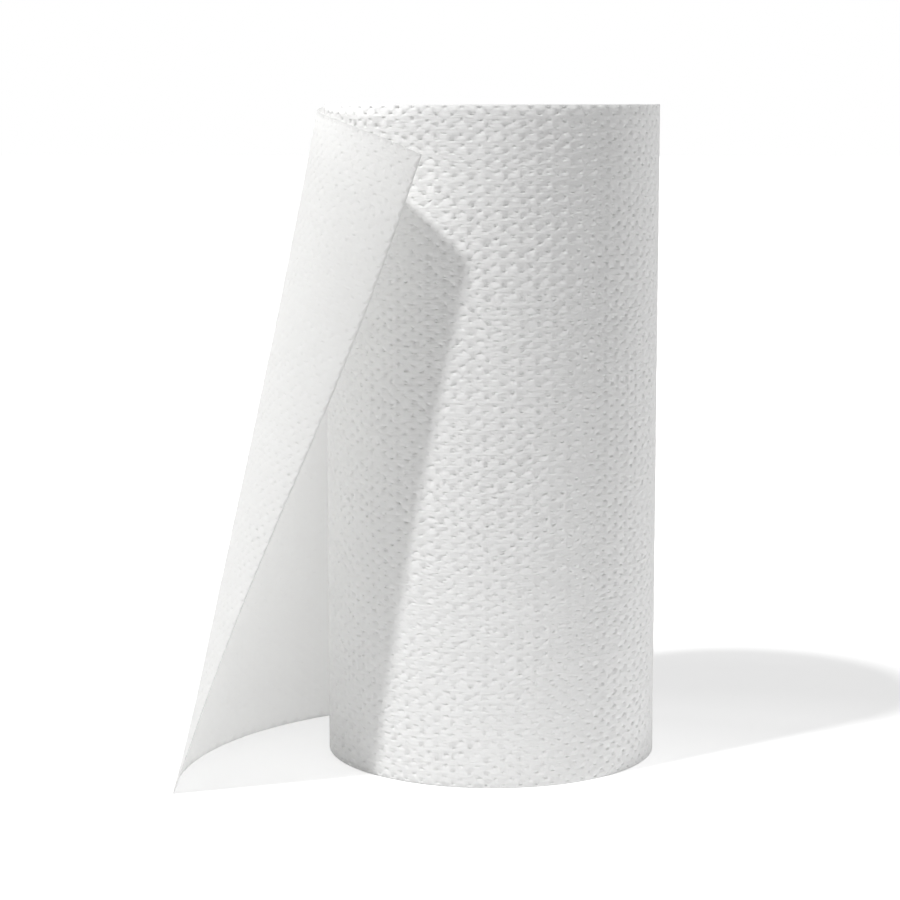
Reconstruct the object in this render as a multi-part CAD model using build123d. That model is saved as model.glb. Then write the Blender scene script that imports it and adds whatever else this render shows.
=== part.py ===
from build123d import *
import math
import os

# A free-standing roll of two-ply kitchen paper towel with its last sheet hanging loose.
# Millimetres, +Z up. The origin is on the roll's axis, in the plane of its lower end.
# Angles are degrees anticlockwise from +X, seen from above. The front of the roll faces -Y.

# ---- driving dimensions: the core -------------------------------------------------------
ROLL_HEIGHT = 279.4            # width of the web, 11 in, cut square at both ends
CORE_BORE = 41.3               # inside diameter of the paperboard tube, 1 5/8 in
CORE_WALL = 1.0                # spiral-wound board, three plies
WINDING_CLEARANCE = 0.1        # between the board and the first turn, all round

# ---- driving dimensions: the wound web --------------------------------------------------
ROLL_DIAMETER = 143.0          # over the outermost turn
PAPER_THICKNESS = 0.5          # two embossed plies
LIFT = 0.25                    # air between the loose sheet and the turn under it, where it leaves
SEAT = 0.05                    # the loose sheet's face lies this far under the outermost turn's

# ---- driving dimensions: the loose end --------------------------------------------------
LEAVES_AT = 62.0               # angle where the web leaves the roll, at the back
LOOSE_LENGTH = 261.6           # from there to the torn edge, measured along the lower edge
RIM_SHORTFALL = 10.0           # the upper edge is this much shorter: the sheet was torn askew
FLOOR_RADIUS = 137.7           # the lower edge springs open to this radius
EASE_LENGTH = 85.2             # length over which the lower edge opens up to FLOOR_RADIUS
HUG_LENGTH = 69.0              # the upper edge stays wound this far, then opens evenly
RIM_RADIUS = 108.0             # radius of the upper edge at its torn corner
CORNER_DROP = 19.6             # how far the upper torn corner sags below the rim
DROP_POWER = 4.67              # how late along the web the upper edge starts to sag
TEAR_LEAD = 2.2                # how far the middle of the torn edge runs ahead of its ends
SWELL = 7.6                    # how far the web swells out between its edges, two thirds along
WAVE = 1.8                     # its lower half stands this much further out, its upper half in
ROOT = 1.0                     # length of web inside the outermost turn, where the two are one

# ---- worked out from the driving dimensions ---------------------------------------------
ROLL_RADIUS = ROLL_DIAMETER / 2
BORE_RADIUS = CORE_BORE / 2
CORE_RADIUS = BORE_RADIUS + CORE_WALL
WOUND_FROM = CORE_RADIUS + WINDING_CLEARANCE
STEP = SEAT + PAPER_THICKNESS + LIFT     # height of the step that one more turn makes
RIM_LENGTH = LOOSE_LENGTH - RIM_SHORTFALL

# ---- how finely the curved faces are laid out -------------------------------------------
TURN_POINTS = 60
LENGTH_POINTS = 40
HEIGHT_POINTS = 12
WALK_STEPS = 12                # short steps walked between two points along the web
FACE_TOLERANCE = 0.01          # how closely the web's cubic faces keep to their points


def around(radius, angle):
    """A point of the floor plan at this radius and angle about the roll's axis."""
    return (radius * math.cos(math.radians(angle)), radius * math.sin(math.radians(angle)))


def core_tube():
    """The plain paperboard tube, flush with both ends of the paper."""
    tube = Cylinder(CORE_RADIUS, ROLL_HEIGHT, align=(Align.CENTER, Align.CENTER, Align.MIN))
    return tube - Cylinder(BORE_RADIUS, ROLL_HEIGHT, align=(Align.CENTER, Align.CENTER, Align.MIN))


def wound_body():
    """The wound turns: outside, one Archimedean turn that ends in the step where the web leaves."""
    turn = []
    for i in range(TURN_POINTS + 1):
        share = i / TURN_POINTS
        turn.append(around(ROLL_RADIUS - STEP * (1 - share), LEAVES_AT + 360 * share))
    outline = Wire([Edge.make_spline([(x, y, 0) for x, y in turn]),
                    Edge.make_line((*turn[-1], 0), (*turn[0], 0))])
    body = Solid.extrude(Face(outline), Vector(0, 0, ROLL_HEIGHT))
    return body - Cylinder(WOUND_FROM, ROLL_HEIGHT, align=(Align.CENTER, Align.CENTER, Align.MIN))


def floor_curvature(length):
    """Curvature of the lower edge: the roll's own at first, then opened up to FLOOR_RADIUS."""
    opened = min(max(length, 0) / EASE_LENGTH, 1)
    return 1 / ROLL_RADIUS + (1 / FLOOR_RADIUS - 1 / ROLL_RADIUS) * opened


def rim_curvature(length):
    """Curvature of the upper edge: still wound for HUG_LENGTH, then it opens evenly."""
    opened = max(length - HUG_LENGTH, 0) / (RIM_LENGTH - HUG_LENGTH)
    return 1 / ROLL_RADIUS + (1 / RIM_RADIUS - 1 / ROLL_RADIUS) * opened


def rim_height(length):
    """Height of the upper edge: level along the roll, then sagging to the torn corner."""
    return ROLL_HEIGHT - CORNER_DROP * (max(length, 0) / RIM_LENGTH) ** DROP_POWER


def walk(lengths, curvature, height):
    """Follows an edge of the web from its root: a list of (x, y, z, heading in radians)."""
    x, y = around(ROLL_RADIUS - SEAT, LEAVES_AT)
    heading = math.radians(LEAVES_AT + 90)
    here = 0.0
    route = []
    for there in lengths:
        step = (there - here) / WALK_STEPS
        for i in range(WALK_STEPS):
            start = here + step * i
            fall = height(start + step) - height(start)
            level = math.copysign(math.sqrt(max(step * step - fall * fall, 0)), step)
            heading += curvature(start + step / 2) * step / 2
            x += level * math.cos(heading)
            y += level * math.sin(heading)
            heading += curvature(start + step / 2) * step / 2
        here = there
        route.append((x, y, height(there), heading))
    return route


def web_faces():
    """Grids of points on the outer and inner faces of the loose web, from its root to its tear."""
    lengths = [-ROOT + (LOOSE_LENGTH + ROOT) * i / LENGTH_POINTS for i in range(LENGTH_POINTS + 1)]
    floor = walk(lengths, floor_curvature, lambda length: 0.0)
    rim = walk([length * RIM_LENGTH / LOOSE_LENGTH for length in lengths], rim_curvature, rim_height)
    outer, inner = [], []
    for j in range(HEIGHT_POINTS + 1):
        up = j / HEIGHT_POINTS
        arch = 4 * up * (1 - up)
        row = []
        for length, low, high in zip(lengths, floor, rim):
            share = max(length, 0) / LOOSE_LENGTH
            ahead = TEAR_LEAD * arch * share ** 2
            swell = SWELL * arch * 27 / 4 * share ** 2 * (1 - share)
            out = swell + WAVE * math.sin(2 * math.pi * up) * share ** 2
            dx, dy = math.cos(low[3]), math.sin(low[3])
            x = low[0] * (1 - up) + high[0] * up + ahead * dx + out * dy
            y = low[1] * (1 - up) + high[1] * up + ahead * dy - out * dx
            row.append(Vector(x, y, high[2] * up))
        outer.append(row)
        inner.append([])
        for i, point in enumerate(row):
            along = row[min(i + 1, LENGTH_POINTS)] - row[max(i - 1, 0)]
            inward = Vector(-along.Y, along.X, 0).normalized()
            inner[j].append(point + inward * PAPER_THICKNESS)
    return outer, inner


def loose_web():
    """The loose end of the web as a thin closed solid, with its root inside the outermost turn."""
    outer, inner = web_faces()
    faces = []
    for grid in (outer, inner):
        faces.append(Face.make_surface_from_array_of_points(grid, tol=FACE_TOLERANCE, min_deg=3))
    middle, last, top = LENGTH_POINTS // 2, LENGTH_POINTS, HEIGHT_POINTS
    for j, i in ((0, middle), (top, middle), (top // 2, 0), (top // 2, last)):
        pair = [f.edges().sort_by_distance(g[j][i])[0] for f, g in zip(faces[:2], (outer, inner))]
        faces.append(Face.make_surface_from_curves(*pair))
    return Solid(Shell(faces))


def paper_roll():
    """The whole web as one solid: the wound turns and the loose end that leaves them."""
    return wound_body() + loose_web()


os.makedirs("parts", exist_ok=True)
for name, shape in (("core_tube", core_tube()), ("paper_roll", paper_roll())):
    solids = shape.solids()
    box = shape.bounding_box()
    print(name, len(solids), "solid,", round(shape.volume), "mm3,", "valid" if shape.is_valid else "NOT VALID")
    print("  from", [round(v, 2) for v in box.min], "to", [round(v, 2) for v in box.max])
    export_step(solids[0] if len(solids) == 1 else Compound(solids), f"parts/{name}.step")
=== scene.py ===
# %% [markdown]
# # A roll of paper towel, in cells
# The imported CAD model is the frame: it says where the roll stands and how large it is. Everything
# here is built round it, in metres, +Z up, with the roll's axis on the Z axis and the front facing -Y.

# %% Load the frame
import math
import bpy
import bmesh
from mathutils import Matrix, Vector, geometry, kdtree


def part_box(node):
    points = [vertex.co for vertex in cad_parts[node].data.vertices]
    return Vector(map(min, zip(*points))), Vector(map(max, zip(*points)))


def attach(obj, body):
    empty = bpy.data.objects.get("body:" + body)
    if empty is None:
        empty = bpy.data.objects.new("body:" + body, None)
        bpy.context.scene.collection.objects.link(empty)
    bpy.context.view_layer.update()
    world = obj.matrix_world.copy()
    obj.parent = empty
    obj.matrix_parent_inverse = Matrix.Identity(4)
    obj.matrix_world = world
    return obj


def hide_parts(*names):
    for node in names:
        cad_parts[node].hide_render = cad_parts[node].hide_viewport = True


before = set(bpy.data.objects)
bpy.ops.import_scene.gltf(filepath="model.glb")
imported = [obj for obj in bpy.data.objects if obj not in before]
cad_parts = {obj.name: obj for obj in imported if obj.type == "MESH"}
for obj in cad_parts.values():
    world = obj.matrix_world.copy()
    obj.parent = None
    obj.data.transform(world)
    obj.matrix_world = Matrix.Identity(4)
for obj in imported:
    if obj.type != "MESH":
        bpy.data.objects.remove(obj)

MM = 0.001
scene = bpy.context.scene
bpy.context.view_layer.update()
roll_low, roll_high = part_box("paper_roll")
core_low, core_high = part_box("core_tube")

# %% [markdown]
# ## The sizes of the web
# A towel roll is one long strip of paper, the web. The core and the height can be read off the frame.
# The numbers that shape the loose end can't, so they are repeated here from the CAD source.

# %% Sizes of the web
HEIGHT = roll_high.z - roll_low.z
ROLL_RADIUS = 71.5 * MM
PAPER = 0.5 * MM                # thickness of the two plies together
SEAT = 0.05 * MM                # the loose end starts this far inside the roll's radius
STEP = 0.8 * MM                 # how much the outermost turn gains in one round
LEAVES_AT = math.radians(62.0)  # where the web leaves the roll, at the back
LOOSE = 261.6 * MM              # length of the loose end along its lower edge
RIM_LOOSE = LOOSE - 10.0 * MM   # and along its upper edge: the sheet was torn askew
FLOOR_RADIUS = 137.7 * MM       # the lower edge opens to this radius ...
EASE = 85.2 * MM                # ... over this length
HUG = 69.0 * MM                 # the upper edge stays wound this far ...
RIM_RADIUS = 108.0 * MM         # ... and then opens to this radius at the torn corner
CORNER_DROP = 19.6 * MM         # sag of the upper torn corner
DROP_POWER = 4.67               # high, because the edge hardly sags until near the corner
TEAR_LEAD = 2.2 * MM            # the middle of the torn edge runs ahead of its ends
SWELL = 7.6 * MM                # the web swells out between its edges
WAVE = 1.8 * MM                 # and ends in a shallow S
SHEET = HEIGHT                  # the sheets between perforations are square
TILES_ALONG = 40                # embossing tiles in one sheet, along the web ...
TILES_UP = 54                   # ... and up it
TILE_W = SHEET / TILES_ALONG
TILE_H = HEIGHT / TILES_UP
TUCK_TILES = 23                 # tiles of the third sheet that are on the outermost turn
CORE_RADIUS = (core_high.x - core_low.x) / 2
TUCK_SHARE = -0.05              # the guides start this share of a turn early, under the loose end
print("web", round(HEIGHT / MM, 1), "mm high, tiles", round(TILE_W / MM, 2), "x", round(TILE_H / MM, 2), "mm")

# %% [markdown]
# ## Two guides for the web
# Paper bends but hardly stretches, so its shape is fixed once its two long edges are. Each edge is
# walked in short steps: a heading that turns by the curvature at each step. The first stretch is the
# outermost turn, which climbs by one step of the winding. Then comes the loose end, whose lower edge
# opens along the floor. Its upper edge stays wound for a while, then opens less and sags at the torn
# corner. It is a little shorter, since the sheet was not torn quite square.

# %% Walk the two edges
WALK = 0.5 * MM


def outer_turn(start_share):
    """The outermost turn's points: from under the loose end, once round, to where the web leaves."""
    count = int(2 * math.pi * ROLL_RADIUS / WALK)
    points = []
    for i in range(round(start_share * count), count):
        share = i / count
        radius = ROLL_RADIUS - SEAT - (STEP - SEAT) * (1 - share)
        angle = LEAVES_AT + 2 * math.pi * share
        points.append((radius * math.cos(angle), radius * math.sin(angle)))
    return points


def loose_edge(length, curvature, height):
    """The loose end's points along one edge, each (x, y, z)."""
    radius = ROLL_RADIUS - SEAT
    x, y = radius * math.cos(LEAVES_AT), radius * math.sin(LEAVES_AT)
    heading = LEAVES_AT + math.pi / 2
    points = [(x, y, height(0))]
    count = int(length / WALK)
    step = length / count
    for i in range(count):
        start = step * i
        fall = height(start + step) - height(start)
        level = math.sqrt(step * step - fall * fall)
        turn = curvature(start + step / 2) * step
        x += level * math.cos(heading + turn / 2)
        y += level * math.sin(heading + turn / 2)
        heading += turn
        points.append((x, y, height(start + step)))
    return points


def opening(radius, start, end):
    """Curvature that is the roll's own up to start and 1 / radius from end on."""
    change = 1 / radius - 1 / ROLL_RADIUS
    return lambda s: 1 / ROLL_RADIUS + change * min(max(s - start, 0) / (end - start), 1)


def guide(name, loose, level):
    """A curve object that runs along the outermost turn and then along the loose end."""
    points = [(x, y, level) for x, y in outer_turn(TUCK_SHARE)] + loose
    curve = bpy.data.curves.new(name, "CURVE")
    curve.dimensions = "3D"
    spline = curve.splines.new("POLY")
    spline.points.add(len(points) - 1)
    spline.points.foreach_set("co", [v for p in points for v in (*p, 1.0)])
    return bpy.data.objects.new(name, curve)


def length_of(points):
    return sum(math.dist(a, b) for a, b in zip(points, points[1:]))


floor_edge = loose_edge(LOOSE, opening(FLOOR_RADIUS, 0, EASE), lambda s: 0.0)
rim_edge = loose_edge(RIM_LOOSE, opening(RIM_RADIUS, HUG, RIM_LOOSE),
                      lambda s: HEIGHT - CORNER_DROP * (s / RIM_LOOSE) ** DROP_POWER)
floor_guide = guide("floor guide", floor_edge, 0.0)
rim_guide = guide("rim guide", rim_edge, HEIGHT)
TURN = length_of([(x, y, 0) for x, y in outer_turn(0)] + floor_edge[:1])
GUIDE_START = TURN - length_of([(x, y, 0) for x, y in outer_turn(TUCK_SHARE)] + floor_edge[:1])
WEB = TURN + LOOSE
TUCK = TUCK_TILES * SHEET / TILES_ALONG - (WEB - 2 * SHEET)
print("outermost turn", round(TURN / MM, 1), "mm, shown web", round(WEB / MM, 1), "mm")
print("third sheet tucked in by", round(TUCK / MM, 1), "mm")
print("guides start at", round(GUIDE_START / MM, 1), "mm")

# %% [markdown]
# ## A small kit for building node trees
# Node trees are easier to read in a script when one call makes a node, sets it and wires it. The
# commonest nodes get a short name of their own: sums, noise, a change of range, a bump, a mix.

# %% Helpers for node trees


def put(tree, kind, wires=None, **settings):
    """Adds a node. wires maps an input's name or number to a value, or to a socket that feeds it."""
    node = tree.nodes.new(kind)
    for key, value in settings.items():
        setattr(node, key, value)
    for key, value in (wires or {}).items():
        socket = node.inputs[key]
        if isinstance(value, bpy.types.NodeSocket):
            tree.links.new(value, socket)
        else:
            socket.default_value = value
    return node


def calc(tree, operation, *values):
    """A Math node's result."""
    return put(tree, "ShaderNodeMath", dict(enumerate(values)), operation=operation).outputs[0]


def plus(tree, a, b):
    return calc(tree, "ADD", a, b)


def minus(tree, a, b):
    return calc(tree, "SUBTRACT", a, b)


def times(tree, a, b):
    return calc(tree, "MULTIPLY", a, b)


def over(tree, a, b):
    return calc(tree, "DIVIDE", a, b)


def vcalc(tree, operation, *values):
    """A Vector Math node's result. SCALE takes its factor as the second value."""
    sockets = (0, "Scale") if operation == "SCALE" else (0, 1)
    node = put(tree, "ShaderNodeVectorMath", dict(zip(sockets, values)), operation=operation)
    return node.outputs["Value" if operation == "DISTANCE" else "Vector"]


def vector(tree, x, y, z):
    return put(tree, "ShaderNodeCombineXYZ", {0: x, 1: y, 2: z}).outputs[0]


def split(tree, place):
    """The three numbers of a vector, by the names X, Y and Z."""
    return put(tree, "ShaderNodeSeparateXYZ", {0: place}).outputs


def level_only(tree, place):
    """The vector with its height taken away."""
    return vcalc(tree, "MULTIPLY", place, (1.0, 1.0, 0.0))


def noise(tree, at, scale, detail, roughness=0.5):
    """A smooth random field's two results, a number and a colour. Each goes from about 0.3 to 0.7."""
    wires = {"Vector": at, "Scale": scale, "Detail": detail, "Roughness": roughness}
    node = put(tree, "ShaderNodeTexNoise", wires)
    return node.outputs[0], node.outputs["Color"]


def remap(tree, value, from_range, to_range, curve="LINEAR"):
    """Carries a value from one range to another and holds it at the ends."""
    wires = {"Value": value, "From Min": from_range[0], "From Max": from_range[1],
             "To Min": to_range[0], "To Max": to_range[1]}
    return put(tree, "ShaderNodeMapRange", wires, interpolation_type=curve).outputs[0]


def bump(tree, height, distance, under=None):
    """A bump's normal, laid over the normal of another bump if there is one under it."""
    wires = {"Height": height, "Strength": 1.0, "Distance": distance}
    if under is not None:
        wires["Normal"] = under
    return put(tree, "ShaderNodeBump", wires).outputs[0]


def blend(tree, share, a, b, blend_type="MIX"):
    """A colour between a and b."""
    wires = {"Factor": share, "A": a, "B": b}
    return put(tree, "ShaderNodeMix", wires, data_type="RGBA", blend_type=blend_type).outputs["Result"]


def new_material(name, roughness, specular):
    """A matt material, as (material, its tree, its shader)."""
    material = bpy.data.materials.new(name)
    material.use_nodes = True
    shader = material.node_tree.nodes["Principled BSDF"]
    shader.inputs["Roughness"].default_value = roughness
    shader.inputs["Specular IOR Level"].default_value = specular
    return material, material.node_tree, shader


def new_tree(name, sockets):
    """A Geometry Nodes tree with named inputs, as (tree, its input node)."""
    tree = bpy.data.node_groups.new(name, "GeometryNodeTree")
    tree.interface.new_socket("Geometry", in_out="INPUT", socket_type="NodeSocketGeometry")
    tree.interface.new_socket("Geometry", in_out="OUTPUT", socket_type="NodeSocketGeometry")
    for label, kind in sockets:
        tree.interface.new_socket(label, in_out="INPUT", socket_type="NodeSocket" + kind)
    return tree, tree.nodes.new("NodeGroupInput")


def finish_tree(tree, geometry_socket, material_socket):
    """Sets the material and hands the geometry out."""
    wires = {"Geometry": geometry_socket, "Material": material_socket}
    painted = put(tree, "GeometryNodeSetMaterial", wires)
    out = tree.nodes.new("NodeGroupOutput")
    tree.links.new(painted.outputs[0], out.inputs[0])


def grow(name, tree, values):
    """Runs a tree on an empty mesh with these named inputs, and returns the result as a plain object."""
    carrier = bpy.data.objects.new(name + " carrier", bpy.data.meshes.new(name + " carrier"))
    scene.collection.objects.link(carrier)
    modifier = carrier.modifiers.new("grow", "NODES")
    modifier.node_group = tree
    for item in tree.interface.items_tree:
        if item.in_out == "INPUT" and item.name in values:
            modifier[item.identifier] = values[item.name]
    bpy.context.view_layer.update()
    evaluated = carrier.evaluated_get(bpy.context.evaluated_depsgraph_get())
    mesh = bpy.data.meshes.new_from_object(evaluated)
    bpy.data.objects.remove(carrier)
    piece = bpy.data.objects.new(name, mesh)
    mesh.name = name
    scene.collection.objects.link(piece)
    return piece


def face_out(piece):
    """Welds doubles, points every face outwards, and reports the mesh."""
    work = bmesh.new()
    work.from_mesh(piece.data)
    bmesh.ops.remove_doubles(work, verts=work.verts, dist=0.001 * MM)
    bmesh.ops.recalc_face_normals(work, faces=work.faces)
    open_edges = sum(not edge.is_manifold for edge in work.edges)
    triangles = sum(len(face.verts) - 2 for face in work.faces)
    work.to_mesh(piece.data)
    work.free()
    print(piece.name, triangles, "triangles,", open_edges, "open edges")
    return piece


# %% [markdown]
# ## The towel paper
# Soft white tissue: matt, a little sheen from loose fibres, and a very fine felt of fibres all over.
# The fibres, the small gathers between the dimples and a sharper floor to each dimple are bump. They
# read the paper's own UV map, in metres along and up the web, so they follow the sheet round the roll
# and out along the loose end. The wound paper has paper behind it and only softens the light a little.
# The loose sheet has nothing behind it, so light comes through and its inner face glows: a translucent
# shader is mixed in, from none where the web leaves the roll to its full share further out.

# %% Towel paper material
PRESSED = 0.26 * MM             # depth of the dimples' own bump, which sharpens the modelled ones
PRESSED_W = 1.1 * MM            # and its half widths
PRESSED_H = 0.55 * MM
GATHERS = 0.45 * MM             # depth of the small gathers between the dimples
FELT = 0.05 * MM                # depth of the felt of fibres
PAPER_GREY = (0.855, 0.855, 0.85, 1)
PAPER_WHITE = (0.885, 0.885, 0.88, 1)
PAPER_GLOW = (0.95, 0.95, 0.945, 1)
CLEARS_OVER = 90 * MM           # the loose end reaches its full share of light over this length
SHOWS_THROUGH = 0.62            # share of the light that each face of the loose sheet lets pass


def dimple_relief(tree, place):
    """0 on the land and about -1 in each dimple, from the web's own coordinates."""
    axes = split(tree, place)
    across = over(tree, minus(tree, axes["X"], WEB), TILE_W)
    upward = over(tree, axes["Y"], TILE_H / 2)
    odd_row = times(tree, calc(tree, "FLOORED_MODULO", calc(tree, "FLOOR", upward), 2.0), 0.5)
    beside = plus(tree, minus(tree, across, odd_row), 0.25)
    beside = minus(tree, calc(tree, "FRACT", beside), 0.5)
    above = minus(tree, calc(tree, "FRACT", upward), 0.5)
    wide = calc(tree, "POWER", over(tree, times(tree, beside, TILE_W), PRESSED_W), 2.0)
    high = calc(tree, "POWER", over(tree, times(tree, above, TILE_H / 2), PRESSED_H), 2.0)
    near = calc(tree, "EXPONENT", times(tree, plus(tree, wide, high), -2.0))
    uneven, _ = noise(tree, place, 170.0, 0.0)
    return times(tree, near, remap(tree, uneven, (0.3, 0.7), (-0.3, -1.5)))


def towel_paper(name, see_through):
    """Tissue paper. see_through is the share of the light that each face lets pass where it is loose."""
    material, tree, shader = new_material(name, 0.92, 0.25)
    shader.inputs["Sheen Weight"].default_value = 0.06
    shader.inputs["Sheen Roughness"].default_value = 0.5
    if not see_through:
        shader.inputs["Subsurface Weight"].default_value = 1.0
        shader.inputs["Subsurface Radius"].default_value = (1.0, 1.0, 1.0)
        shader.inputs["Subsurface Scale"].default_value = 0.2 * MM
    place = put(tree, "ShaderNodeUVMap", uv_map="web").outputs[0]
    cloud, _ = noise(tree, place, 60.0, 3.0)
    tree.links.new(blend(tree, cloud, PAPER_GREY, PAPER_WHITE), shader.inputs["Base Color"])
    stretched = put(tree, "ShaderNodeMapping", {"Vector": place, "Scale": (160.0, 620.0, 1.0)}).outputs[0]
    gathers, _ = noise(tree, stretched, 1.0, 1.5)
    fibres, _ = noise(tree, place, 1900.0, 3.0, 0.6)
    gathered = bump(tree, gathers, GATHERS)
    pressed = bump(tree, dimple_relief(tree, place), PRESSED, gathered)
    tree.links.new(bump(tree, fibres, FELT, pressed), shader.inputs["Normal"])
    if see_through:
        glow = put(tree, "ShaderNodeBsdfTranslucent", {"Color": PAPER_GLOW})
        leaves = WEB - LOOSE
        share = remap(tree, split(tree, place)["X"], (leaves, leaves + CLEARS_OVER), (0.0, see_through),
                      "SMOOTHSTEP")
        both = put(tree, "ShaderNodeMixShader", {0: share, 1: shader.outputs[0], 2: glow.outputs[0]})
        tree.links.new(both.outputs[0], tree.nodes["Material Output"].inputs["Surface"])
    return material


wound_paper = towel_paper("wound towel paper", 0.0)
loose_paper = towel_paper("loose towel paper", SHOWS_THROUGH)
print("papers:", wound_paper.name, "and", loose_paper.name)

# %% [markdown]
# ## One tile of the embossing
# The dimples stand in staggered rows. A tile holds two of them, one low on the left and one high on
# the right, so tiles set side by side make the whole pattern and a sheet can end on a straight line.
# Each dimple is a centre and two rings. Its depth is kept in z, from 0 on the land to -1 at the centre.

# %% Tile meshes
DIMPLE_W = 1.05 * MM            # half widths of a dimple
DIMPLE_H = 0.6 * MM
RINGS = ((0.45, -0.8, 6), (1.0, -0.05, 8))     # share of the half width, depth, points
DIMPLE_DEPTH = 0.62 * MM
BACK_DEPTH = 0.3 * MM           # the dimples show faintly through the inner face
SIDE_PARTS = 3                  # edges on each side of a tile


def tile(name, dimples):
    """A flat rectangle with the same points on its rim every time, with or without dimples inside."""
    rim = []
    for i in range(SIDE_PARTS):
        share = i / SIDE_PARTS - 0.5
        rim += [(share * TILE_W, -TILE_H / 2), (TILE_W / 2, share * TILE_H)]
        rim += [(-share * TILE_W, TILE_H / 2), (-TILE_W / 2, -share * TILE_H)]
    flat = [Vector(p) for p in rim]
    depth = [0.0] * len(rim)
    for cx, cy in ((-TILE_W / 4, -TILE_H / 4), (TILE_W / 4, TILE_H / 4)):
        flat.append(Vector((cx, cy)))
        depth.append(-1.0)
        for share, deep, count in (RINGS if dimples else ()):
            for i in range(count):
                angle = 2 * math.pi * (i + 0.5) / count
                x = cx + share * DIMPLE_W * math.cos(angle)
                y = cy + share * DIMPLE_H * math.sin(angle)
                flat.append(Vector((x, y)))
                depth.append(deep)
    verts, _, faces, origin, *_ = geometry.delaunay_2d_cdt(flat, [], [], 0, 1e-9)
    mesh = bpy.data.meshes.new(name)
    mesh.from_pydata([(v.x, v.y, depth[o[0]]) for v, o in zip(verts, origin)], [], faces)
    print(name, len(faces), "triangles")
    return bpy.data.objects.new(name, mesh)


face_tile = tile("face tile", True)
back_tile = tile("back tile", False)

# %% [markdown]
# ## Paper wrapped on the two guides
# This tree makes one face of a sheet. Tiles are instanced on a flat grid and welded. Smooth noise then
# shifts the rows, because soft paper is never quite even, and the shift fades out at the sheet's edges,
# where it was cut. Last, each point is carried to its place: its length along the web picks a point on
# each guide, and its height picks the place between them. This follows the real paper, which is
# embossed flat and wound or bent afterwards.

# %% The sheet tree
SHEET_INPUTS = (
    ("Tile", "Object"), ("Tiles along", "Int"), ("Tiles up", "Int"), ("Tile width", "Float"),
    ("Tile height", "Float"), ("Starts at", "Float"), ("Dimple depth", "Float"), ("Inset", "Float"),
    ("Row drift", "Float"), ("Jitter", "Float"), ("Quilting", "Float"), ("Seed", "Float"),
    ("Floor guide", "Object"), ("Rim guide", "Object"), ("Guide starts at", "Float"),
    ("Leaves at", "Float"), ("Loose length", "Float"), ("Rim share", "Float"), ("Tear lead", "Float"),
    ("Swell", "Float"), ("Wave", "Float"), ("Material", "Material"))
DRIFT_REACH = 22 * MM           # rows drift and the paper quilts only this far inside the border
JITTER_REACH = 5 * MM           # and single dimples move only this far inside it
PINCH_REACH = 4 * MM            # the plies are pressed together within this of the border ...
EDGE_SHARE = 0.3                # ... to this share of their thickness
SWELL_PEAK = 27 / 4             # makes the swell reach its full height at two thirds of the way out


def border_fade(tree, x, y, width, height, reach):
    """0 on the sheet's border, 1 further inside than reach."""
    side = calc(tree, "MINIMUM", x, minus(tree, width, x))
    end = calc(tree, "MINIMUM", y, minus(tree, height, y))
    return remap(tree, calc(tree, "MINIMUM", side, end), (0.0, reach), (0.0, 1.0), "SMOOTHSTEP")


def sample(tree, curve_object, length):
    """Position and tangent at a length along a guide."""
    info = put(tree, "GeometryNodeObjectInfo", {"Object": curve_object}).outputs["Geometry"]
    node = put(tree, "GeometryNodeSampleCurve", {"Curves": info}, mode="LENGTH", use_all_curves=True)
    tree.links.new(length, node.inputs["Length"])
    return node.outputs["Position"], node.outputs["Tangent"]


def mix_vectors(tree, a, b, share):
    return vcalc(tree, "ADD", a, vcalc(tree, "SCALE", vcalc(tree, "SUBTRACT", b, a), share))


def lay_tiles(tree, get, width, height):
    """The flat sheet of welded tiles, with one corner at the origin."""
    grid = put(tree, "GeometryNodeMeshGrid", {
        "Size X": minus(tree, width, get["Tile width"]), "Size Y": minus(tree, height, get["Tile height"]),
        "Vertices X": get["Tiles along"], "Vertices Y": get["Tiles up"]})
    stamp = put(tree, "GeometryNodeObjectInfo", {"Object": get["Tile"]}).outputs["Geometry"]
    tiles = put(tree, "GeometryNodeInstanceOnPoints", {"Points": grid.outputs["Mesh"], "Instance": stamp})
    real = put(tree, "GeometryNodeRealizeInstances", {"Geometry": tiles.outputs[0]})
    corner = vector(tree, times(tree, width, 0.5), times(tree, height, 0.5), 0.0)
    moved = put(tree, "GeometryNodeTransform", {"Geometry": real.outputs[0], "Translation": corner})
    return put(tree, "GeometryNodeMergeByDistance", {"Geometry": moved.outputs[0], "Distance": 0.01 * MM})


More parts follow.
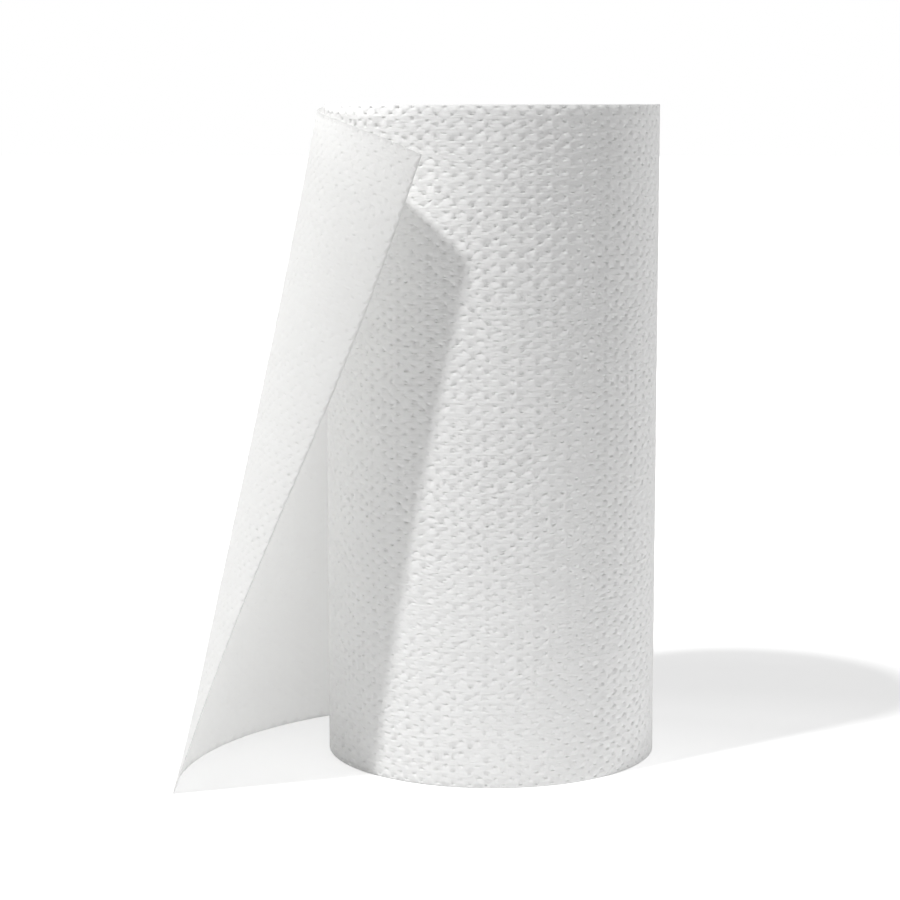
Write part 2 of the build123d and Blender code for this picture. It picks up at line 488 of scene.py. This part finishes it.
def emboss(tree, get, place, width, height):
    """Each point's place on the flat sheet: rows that drift, dimples of uneven depth, quilting."""
    axes = split(tree, place)
    start = vector(tree, get["Seed"], times(tree, get["Seed"], 1.7), 0.0)
    level = level_only(tree, vcalc(tree, "ADD", place, start))
    fade = border_fade(tree, axes["X"], axes["Y"], width, height, DRIFT_REACH)
    close_fade = border_fade(tree, axes["X"], axes["Y"], width, height, JITTER_REACH)
    middle = (0.5, 0.5, 0.5)

    _, drift = noise(tree, level, 16.0, 2.0)
    drift = level_only(tree, vcalc(tree, "SUBTRACT", drift, middle))
    drift = vcalc(tree, "SCALE", drift, times(tree, get["Row drift"], fade))
    uneven, jitter = noise(tree, level, 150.0, 0.0)
    jitter = level_only(tree, vcalc(tree, "SUBTRACT", jitter, middle))
    jitter = vcalc(tree, "SCALE", jitter, times(tree, get["Jitter"], close_fade))
    pull = vcalc(tree, "ADD", drift, jitter)

    region, _ = noise(tree, level, 22.0, 1.0)
    strength = times(tree, remap(tree, uneven, (0.3, 0.7), (0.35, 1.2)),
                     remap(tree, region, (0.35, 0.65), (0.7, 1.1)))
    sunk = times(tree, times(tree, axes["Z"], get["Dimple depth"]), strength)
    streaky = vcalc(tree, "MULTIPLY", level, (0.55, 1.0, 0.0))
    pillow, _ = noise(tree, streaky, 110.0, 2.0)
    pillow = times(tree, minus(tree, pillow, 0.6), times(tree, get["Quilting"], fade))
    rise = plus(tree, sunk, calc(tree, "MINIMUM", pillow, 0.0))
    moved = vcalc(tree, "ADD", pull, vector(tree, 0.0, 0.0, rise))
    return vcalc(tree, "ADD", level_only(tree, place), moved)


def bend(tree, get, place, along, width, height):
    """Each point's place on the bent sheet, between the two guides."""
    axes = split(tree, place)
    up = over(tree, axes["Y"], height)
    on_guide = minus(tree, along, get["Guide starts at"])
    past = calc(tree, "MAXIMUM", minus(tree, along, get["Leaves at"]), 0.0)
    shorter = times(tree, past, minus(tree, 1.0, get["Rim share"]))
    low, low_ahead = sample(tree, get["Floor guide"], on_guide)
    high, high_ahead = sample(tree, get["Rim guide"], minus(tree, on_guide, shorter))
    base = mix_vectors(tree, low, high, up)

    # the tear's lead, the swell and the wave, which all grow towards the torn edge
    share = over(tree, past, get["Loose length"])
    loose = times(tree, share, share)
    arch = times(tree, times(tree, up, minus(tree, 1.0, up)), 4.0)
    ahead = times(tree, times(tree, get["Tear lead"], arch), loose)
    swing = times(tree, calc(tree, "SINE", times(tree, up, 2 * math.pi)), get["Wave"])
    before_tear = times(tree, minus(tree, 1.0, share), SWELL_PEAK)
    swell = times(tree, times(tree, get["Swell"], arch), before_tear)
    out = times(tree, plus(tree, swell, swing), loose)
    low_out = vcalc(tree, "CROSS_PRODUCT", low_ahead, (0.0, 0.0, 1.0))
    shaped = vcalc(tree, "ADD", base, vcalc(tree, "SCALE", low_ahead, ahead))

    # the embossing and the paper's thickness stand square to the surface
    level_ahead = level_only(tree, mix_vectors(tree, low_ahead, high_ahead, up))
    outward = vcalc(tree, "NORMALIZE", vcalc(tree, "CROSS_PRODUCT", level_ahead, (0.0, 0.0, 1.0)))
    pinch = border_fade(tree, axes["X"], axes["Y"], width, height, PINCH_REACH)
    pinch = remap(tree, pinch, (0.0, 1.0), (EDGE_SHARE, 1.0))
    relief = minus(tree, axes["Z"], times(tree, get["Inset"], pinch))
    sideways = vcalc(tree, "ADD", vcalc(tree, "SCALE", low_out, out), vcalc(tree, "SCALE", outward, relief))
    return vcalc(tree, "ADD", shaped, sideways)


def sheet_tree():
    tree, given = new_tree("wrap a sheet", SHEET_INPUTS)
    get = given.outputs
    width = times(tree, get["Tiles along"], get["Tile width"])
    height = times(tree, get["Tiles up"], get["Tile height"])
    place = put(tree, "GeometryNodeInputPosition").outputs[0]
    flat = lay_tiles(tree, get, width, height)
    soft = put(tree, "GeometryNodeSetPosition", {
        "Geometry": flat.outputs[0], "Position": emboss(tree, get, place, width, height)})

    # the paper's own coordinates: metres along and up the web
    axes = split(tree, place)
    along = plus(tree, axes["X"], get["Starts at"])
    named = put(tree, "GeometryNodeStoreNamedAttribute", {"Geometry": soft.outputs[0], "Name": "web"},
                data_type="FLOAT2", domain="CORNER")
    stored = [socket for socket in named.inputs if socket.name == "Value" and socket.enabled][0]
    tree.links.new(vector(tree, along, axes["Y"], 0.0), stored)

    wrapped = put(tree, "GeometryNodeSetPosition", {
        "Geometry": named.outputs[0], "Position": bend(tree, get, place, along, width, height)})
    whole = put(tree, "GeometryNodeRealizeInstances", {"Geometry": wrapped.outputs[0]})
    smooth = put(tree, "GeometryNodeSetShadeSmooth", {"Geometry": whole.outputs[0]})
    finish_tree(tree, smooth.outputs[0], get["Material"])
    return tree


wrap = sheet_tree()
print(len(wrap.nodes), "nodes wrap a sheet")

# %% [markdown]
# ## A sheet is a thin closed shell
# One face is not paper yet. The embossed outer face and a plainer inner one are made with the same
# tree, the inner one set in by the paper's thickness. Both have the same points round the border, so a
# ribbon of faces joins them into a closed shell, 0.5 mm thick. The ribbon's own map is spread a little
# past the sheet's edge, because a bump needs a map with some width to it.

# %% Close a shell


def close_shell(name, outer, inner, paper):
    """Joins two faces with matching borders by a ribbon round the edge. Returns one closed piece."""
    work = bmesh.new()
    work.from_mesh(outer.data)
    outer_count = len(work.verts)
    work.from_mesh(inner.data)
    work.verts.ensure_lookup_table()
    outer_rim = [v for v in work.verts[:outer_count] if v.is_boundary]
    inner_rim = [v for v in work.verts[outer_count:] if v.is_boundary]
    known = set(outer_rim)
    web = work.loops.layers.uv["web"]
    spot = {vert: vert.link_loops[0][web].uv.copy() for vert in outer_rim + inner_rim}
    finder = kdtree.KDTree(len(inner_rim))
    for i, vert in enumerate(inner_rim):
        finder.insert(spot[vert].to_3d(), i)
    finder.balance()
    partner = {vert: inner_rim[finder.find(spot[vert].to_3d())[1]] for vert in outer_rim}
    middle = sum(spot.values(), Vector((0, 0))) / len(spot)
    for edge in [e for e in work.edges if e.is_boundary and e.verts[0] in known]:
        a, b = edge.verts
        face = work.faces.new((a, b, partner[b], partner[a]))
        face.smooth = False
        for loop in face.loops:
            spread = 1.0 if loop.vert in known else 1.0 + 2 * PAPER / SHEET
            loop[web].uv = middle + (spot[loop.vert] - middle) * spread
    mesh = bpy.data.meshes.new(name)
    work.to_mesh(mesh)
    work.free()
    mesh.materials.append(paper)
    piece = bpy.data.objects.new(name, mesh)
    scene.collection.objects.link(piece)
    bpy.data.objects.remove(outer)
    bpy.data.objects.remove(inner)
    return face_out(piece)


ROW_DRIFT = 9 * MM              # how far smooth noise can carry a row ...
JITTER = 3.5 * MM               # ... and a single dimple
QUILTING = 0.6 * MM             # depth of the soft hollows between the rows


def make_sheet(name, starts_at, tiles_along, seed, dimple_depth, paper):
    """One sheet of the web, from its place along the web in metres."""
    shared = {
        "Tiles along": tiles_along, "Tiles up": TILES_UP, "Tile width": TILE_W, "Tile height": TILE_H,
        "Starts at": starts_at, "Row drift": ROW_DRIFT, "Jitter": JITTER, "Quilting": QUILTING,
        "Seed": seed, "Floor guide": floor_guide, "Rim guide": rim_guide, "Guide starts at": GUIDE_START,
        "Leaves at": TURN, "Loose length": LOOSE, "Rim share": RIM_LOOSE / LOOSE, "Tear lead": TEAR_LEAD,
        "Swell": SWELL, "Wave": WAVE, "Material": paper}
    outer = grow(name + " outer", wrap, {
        **shared, "Tile": face_tile, "Dimple depth": dimple_depth, "Inset": 0.0})
    inner = grow(name + " inner", wrap, {
        **shared, "Tile": back_tile, "Dimple depth": BACK_DEPTH, "Inset": PAPER})
    return close_shell(name, outer, inner, paper)


# %% [markdown]
# ## Three sheets of the web show
# Perforations cross the web every 279.4 mm, the height of the roll, so each sheet is square. The last
# sheet is nearly all loose. The second goes most of the way round, and the third starts under the
# loose end, where it is tucked in a little way so that no gap shows. The last sheet's dimples are
# shallow, since handling and its own weight have pulled it flatter.

# %% Sheets
LOOSE_DIMPLES = 0.35 * DIMPLE_DEPTH
last_sheet = make_sheet("last_sheet", WEB - SHEET, TILES_ALONG, 3.1, LOOSE_DIMPLES, loose_paper)
second_sheet = make_sheet("second_sheet", WEB - 2 * SHEET, TILES_ALONG, 7.4, DIMPLE_DEPTH, wound_paper)
third_sheet = make_sheet("third_sheet", -TUCK, TUCK_TILES, 11.9, DIMPLE_DEPTH, wound_paper)

# %% [markdown]
# ## The wound turns
# From above or below the roll shows the edges of about a hundred turns. The end face is a grid that is
# bent round the axis with a shear, so that after one round each row meets the next turn's row: a
# spiral. Rows in the gaps lie lower than rows on the paper's edge, and noise makes some turns stand a
# little higher than others, as they do on a real roll. The lower end is the upper one mirrored, and the
# two are joined by the walls at the core and under the outermost turn.

# %% The wound turns tree
TURNS = 98
ROWS_PER_TURN = 3
ROUND_PARTS = 140
WOUND_FROM = CORE_RADIUS + 0.1 * MM
WOUND_TO = ROLL_RADIUS - STEP - PAPER - 0.35 * MM
GAP_DEPTH = 0.45 * MM           # the gaps between turns lie this much below the paper's edge
UNEVENNESS = 1.6 * MM           # and a turn can lie this much below its neighbours
SWAY = 2.4 * MM                 # how far off a true spiral the turns can lie
TURN_INPUTS = (
    ("Turns", "Int"), ("Rows per turn", "Int"), ("Round parts", "Int"), ("From radius", "Float"),
    ("To radius", "Float"), ("Seam angle", "Float"), ("Half height", "Float"), ("Gap depth", "Float"),
    ("Unevenness", "Float"), ("Sway", "Float"), ("Seed", "Float"), ("Material", "Material"))


def end_face(tree, get):
    """The upper end of the wound turns."""
    rows = times(tree, plus(tree, get["Turns"], 1.0), get["Rows per turn"])
    grid = put(tree, "GeometryNodeMeshGrid", {
        "Size X": rows, "Size Y": get["Round parts"], "Vertices X": plus(tree, rows, 1.0),
        "Vertices Y": plus(tree, get["Round parts"], 1.0)})
    axes = split(tree, put(tree, "GeometryNodeInputPosition").outputs[0])
    row = calc(tree, "ROUND", plus(tree, axes["X"], times(tree, rows, 0.5)))
    half_round = times(tree, get["Round parts"], 0.5)
    share = over(tree, plus(tree, axes["Y"], half_round), get["Round parts"])
    row_turn = over(tree, row, get["Rows per turn"])
    turn = calc(tree, "MAXIMUM", plus(tree, row_turn, minus(tree, share, 1.0)), 0.0)
    pitch = over(tree, minus(tree, get["To radius"], get["From radius"]), get["Turns"])
    radius = plus(tree, get["From radius"], times(tree, turn, pitch))
    angle = plus(tree, times(tree, share, 2 * math.pi), get["Seam angle"])
    ring = vector(tree, calc(tree, "COSINE", angle), calc(tree, "SINE", angle), 0.0)

    # heights: gaps lie low, and each turn has its own unevenness
    gap = calc(tree, "COMPARE", calc(tree, "MODULO", row, get["Rows per turn"]), 0.0, 0.1)
    spiral = plus(tree, calc(tree, "FLOOR", plus(tree, row_turn, 0.01)), share)
    lift_at = vcalc(tree, "ADD", vcalc(tree, "SCALE", ring, 1.2),
                    vector(tree, get["Seed"], 0.0, times(tree, spiral, 0.55)))
    lift, _ = noise(tree, lift_at, 1.0, 2.0)
    lift = times(tree, minus(tree, lift, 0.85), get["Unevenness"])
    lift = calc(tree, "MINIMUM", lift, 0.0)
    top = plus(tree, get["Half height"], minus(tree, lift, times(tree, gap, get["Gap depth"])))

    # the spiral sways a little off true, most at half its depth
    sway_at = vcalc(tree, "ADD", vcalc(tree, "SCALE", ring, 2.6),
                    vector(tree, 4.0, get["Seed"], times(tree, turn, 0.05)))
    sway, _ = noise(tree, sway_at, 1.0, 1.0)
    inside = over(tree, turn, get["Turns"])
    room = minus(tree, 1.0, calc(tree, "MINIMUM", inside, 1.0))
    room = times(tree, times(tree, inside, room), 4.0)
    sway = times(tree, times(tree, minus(tree, sway, 0.5), room), get["Sway"])
    reach = plus(tree, radius, sway)
    spot = vcalc(tree, "ADD", vcalc(tree, "SCALE", ring, reach), vector(tree, 0.0, 0.0, top))
    face = put(tree, "GeometryNodeSetPosition", {"Geometry": grid.outputs["Mesh"], "Position": spot})
    return put(tree, "GeometryNodeMergeByDistance", {"Geometry": face.outputs[0], "Distance": 0.002 * MM})


def turns_tree():
    tree, given = new_tree("wind the turns", TURN_INPUTS)
    get = given.outputs
    face = end_face(tree, get)

    # the walls: the face's border is pulled down to its own mirror image
    neighbours = put(tree, "GeometryNodeInputMeshEdgeNeighbors").outputs[0]
    border = put(tree, "FunctionNodeCompare", {2: neighbours, 3: 1}, data_type="INT", operation="EQUAL")
    walls = put(tree, "GeometryNodeExtrudeMesh", {
        "Mesh": face.outputs[0], "Selection": border.outputs[0], "Offset Scale": 0.0}, mode="EDGES")
    place = put(tree, "GeometryNodeInputPosition").outputs[0]
    mirrored = vcalc(tree, "MULTIPLY", place, (1.0, 1.0, -1.0))
    pulled = put(tree, "GeometryNodeSetPosition", {
        "Geometry": walls.outputs["Mesh"], "Selection": walls.outputs["Top"], "Position": mirrored})
    below = put(tree, "GeometryNodeTransform", {"Geometry": face.outputs[0], "Scale": (1.0, 1.0, -1.0)})
    both = tree.nodes.new("GeometryNodeJoinGeometry")
    tree.links.new(pulled.outputs[0], both.inputs[0])
    tree.links.new(below.outputs[0], both.inputs[0])
    standing = put(tree, "GeometryNodeTransform", {
        "Geometry": both.outputs[0], "Translation": vector(tree, 0.0, 0.0, get["Half height"])})
    whole = put(tree, "GeometryNodeRealizeInstances", {"Geometry": standing.outputs[0]})
    finish_tree(tree, whole.outputs[0], get["Material"])
    return tree


# %% [markdown]
# The cut edges of the turns are the same paper seen edge-on: a shade greyer in the gaps, where little
# light gets in, and furry from the saw that cut the roll from a long log.

# %% Cut edge material
CUT_GREY = (0.80, 0.80, 0.79, 1)
CUT_WHITE = (0.88, 0.88, 0.87, 1)


def cut_edges():
    material, tree, shader = new_material("cut paper edges", 0.95, 0.2)
    place = put(tree, "ShaderNodeTexCoord").outputs["Object"]
    cloud, _ = noise(tree, place, 45.0, 3.0)
    tree.links.new(blend(tree, cloud, CUT_GREY, CUT_WHITE), shader.inputs["Base Color"])
    fur, _ = noise(tree, place, 900.0, 3.0)
    tree.links.new(bump(tree, fur, 0.12 * MM), shader.inputs["Normal"])
    return material


wound_turns = grow("wound_turns", turns_tree(), {
    "Turns": TURNS, "Rows per turn": ROWS_PER_TURN, "Round parts": ROUND_PARTS, "From radius": WOUND_FROM,
    "To radius": WOUND_TO, "Seam angle": LEAVES_AT, "Half height": HEIGHT / 2, "Gap depth": GAP_DEPTH,
    "Unevenness": UNEVENNESS, "Sway": SWAY, "Seed": 5.2, "Material": cut_edges()})
face_out(wound_turns)

# %% [markdown]
# ## The core
# The cardboard tube is wound from a strip of grey board at an angle, and the strip's edges meet in a
# line that climbs round the bore. The CAD tube has the right shape, so it stays and gets the board.

# %% Cardboard material
STRIP_RISE = 92 * MM            # how far the board's seam climbs in one round
SEAM_DEPTH = 0.3 * MM
BOARD_DARK = (0.30, 0.235, 0.165, 1)
BOARD_LIGHT = (0.42, 0.335, 0.24, 1)
SEAM_BROWN = (0.14, 0.105, 0.07, 1)


def cardboard():
    material, tree, shader = new_material("core board", 0.85, 0.3)
    place = put(tree, "ShaderNodeTexCoord").outputs["Object"]
    axes = split(tree, place)
    angle = over(tree, calc(tree, "ARCTAN2", axes["Y"], axes["X"]), 2 * math.pi)
    climb = calc(tree, "FRACT", plus(tree, over(tree, axes["Z"], STRIP_RISE), angle))
    seam = remap(tree, calc(tree, "PINGPONG", climb, 0.5), (0.0, 0.006), (0.0, 1.0))
    stretched = put(tree, "ShaderNodeMapping", {"Vector": place, "Scale": (1.0, 1.0, 3.0)}).outputs[0]
    fibres, _ = noise(tree, stretched, 420.0, 4.0)
    cloud, _ = noise(tree, place, 70.0, 3.0)
    board = blend(tree, cloud, BOARD_DARK, BOARD_LIGHT)
    flecks = remap(tree, fibres, (0.35, 0.7), (0.82, 1.1))
    toned = blend(tree, 1.0, board, flecks, "MULTIPLY")
    tree.links.new(blend(tree, seam, SEAM_BROWN, toned), shader.inputs["Base Color"])
    groove = bump(tree, seam, SEAM_DEPTH)
    tree.links.new(bump(tree, fibres, 0.06 * MM, groove), shader.inputs["Normal"])
    return material


board = cardboard()
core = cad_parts["core_tube"]
core.data.materials.clear()
core.data.materials.append(board)
print(core.name, "is made of", board.name)

# %% [markdown]
# ## Who stands for what
# Nothing on a roll moves, so every piece rides on the root body. The three sheets and the wound turns
# stand for the CAD roll. The last sheet hangs free.

# %% Ride and replace
for piece in (last_sheet, second_sheet, third_sheet, wound_turns):
    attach(piece, "root")
    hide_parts("paper_roll")

# %% [markdown]
# ## Floor and light
# The floor stands for white paper. In a studio it is lit so strongly that it looks white even where the roll
# throws its shadow, but that light would also fill the embossing from below and flatten it. So the
# floor and the sky look brighter than the light that they give. The floor also holds painted light: it
# glows more close in front of the roll, a painted pool of light for the roll's lower front, and its colour
# is painted paler close round the roll and greyer further out, so that the near floor throws more light
# onto the roll. The key is high on the left in front, and two softer lamps, on the left and behind, lift
# the shaded sides.

# %% Floor
FLOOR_LOOKS = 0.51              # glow that the camera sees round the roll ...
SWEEP_LOOKS = 1.0               # ... and further away, where the key hardly reaches
FLOOR_GIVES = 0.05              # glow that lights the roll ...
POOL = 0.20                     # ... and this much more close in front of it: a painted pool of light
# middle of the painted pool of light, and of the floor's other changes with distance
POOL_MIDDLE = (0.09, -0.20, 0.0)
REACH = 12.0                    # half the floor's width
BELOW = -0.05 * MM              # the floor lies this little under the roll
corners = [(x, y, BELOW) for x, y in ((-REACH, -REACH), (REACH, -REACH), (REACH, REACH), (-REACH, REACH))]
floor_mesh = bpy.data.meshes.new("floor")
floor_mesh.from_pydata(corners, [], [(0, 1, 2, 3)])
floor = bpy.data.objects.new("floor", floor_mesh)
scene.collection.objects.link(floor)
white, ground, shader = new_material("floor with painted light pool", 1.0, 0.0)
shader.inputs["Emission Color"].default_value = (1, 1, 1, 1)
away = vcalc(ground, "DISTANCE", put(ground, "ShaderNodeTexCoord").outputs["Object"], POOL_MIDDLE)
# painted pool of light: the floor glows more close in front of the roll, for all rays but the camera's
pool = remap(ground, away, (0.10, 0.22), (FLOOR_GIVES + POOL, FLOOR_GIVES), "SMOOTHSTEP")
looks = remap(ground, away, (0.35, 0.9), (FLOOR_LOOKS, SWEEP_LOOKS))
seen = put(ground, "ShaderNodeLightPath").outputs["Is Camera Ray"]
glow = put(ground, "ShaderNodeMix", {"Factor": seen, "A": pool, "B": looks}).outputs["Result"]
ground.links.new(glow, shader.inputs["Emission Strength"])
# painted light: the floor's colour is paler close round the roll and greyer further out, so the near floor
# throws more light onto the roll's front
ground.links.new(remap(ground, away, (0.14, 0.30), (0.90, 0.55)), shader.inputs["Base Color"])
floor_mesh.materials.append(white)
print("floor", 2 * REACH, "m wide")

# %% Lamps and sky
MIDDLE = Vector((0.0, 0.0, HEIGHT / 2))


def lamp(name, towards, distance, size, watts):
    """A round area lamp that stands in this direction from the roll and shines on it."""
    data = bpy.data.lights.new(name, "AREA")
    data.shape = "DISK"
    data.size = size
    data.energy = watts
    made = bpy.data.objects.new(name, data)
    made.location = MIDDLE + Vector(towards).normalized() * distance
    made.rotation_euler = Vector(towards).to_track_quat("Z", "Y").to_euler()
    scene.collection.objects.link(made)


KEY_PLACE = (-0.810, -0.687, 2.084)
KEY_WATTS = 137.0
KEY_RADIUS = 0.064              # small, so that the roll's shadow has a crisp edge
key_light = bpy.data.lights.new("key", "POINT")
key_light.energy = KEY_WATTS
key_light.shadow_soft_size = KEY_RADIUS
key = bpy.data.objects.new("key", key_light)
key.location = KEY_PLACE
scene.collection.objects.link(key)
lamp("back fill", towards=(0.85, 0.50, 0.06), distance=2.0, size=1.0, watts=14.0)
lamp("left", towards=(-0.93, 0.30, 0.0), distance=2.0, size=0.27, watts=23.0)

SKY_GIVES = 0.38                # the light that the sky gives, against the white that the camera sees
world = bpy.data.worlds.new("booth")
scene.world = world
world.use_nodes = True
sky = world.node_tree
background = sky.nodes["Background"]
background.inputs["Color"].default_value = (1, 1, 1, 1)
seen = put(sky, "ShaderNodeLightPath").outputs["Is Camera Ray"]
shown = put(sky, "ShaderNodeMix", {"Factor": seen, "A": SKY_GIVES, "B": 1.0}).outputs["Result"]
sky.links.new(shown, background.inputs["Strength"])
scene.view_settings.view_transform = "Standard"
scene.view_settings.look = "None"

# %% [markdown]
# ## Camera
# A long lens at the height of the roll's upper end, so that this end is seen edge-on.

# %% Camera
DISTANCE = 1.030                # from the roll's axis
LOOKS_DOWN = 8.21               # degrees
LOOKS_LEFT = 0.991
camera_data = bpy.data.cameras.new("camera")
camera_data.sensor_width = 36.0
camera_data.lens = 95.87
camera = bpy.data.objects.new("camera", camera_data)
camera.location = (0.0, -DISTANCE, HEIGHT)
camera.rotation_euler = (math.radians(90 - LOOKS_DOWN), 0.0, math.radians(LOOKS_LEFT))
camera_data.clip_start = 0.05
camera_data.clip_end = 60
scene.collection.objects.link(camera)
scene.camera = camera
print("camera", [round(v, 3) for v in camera.location], "lens", round(camera_data.lens, 2), "mm")
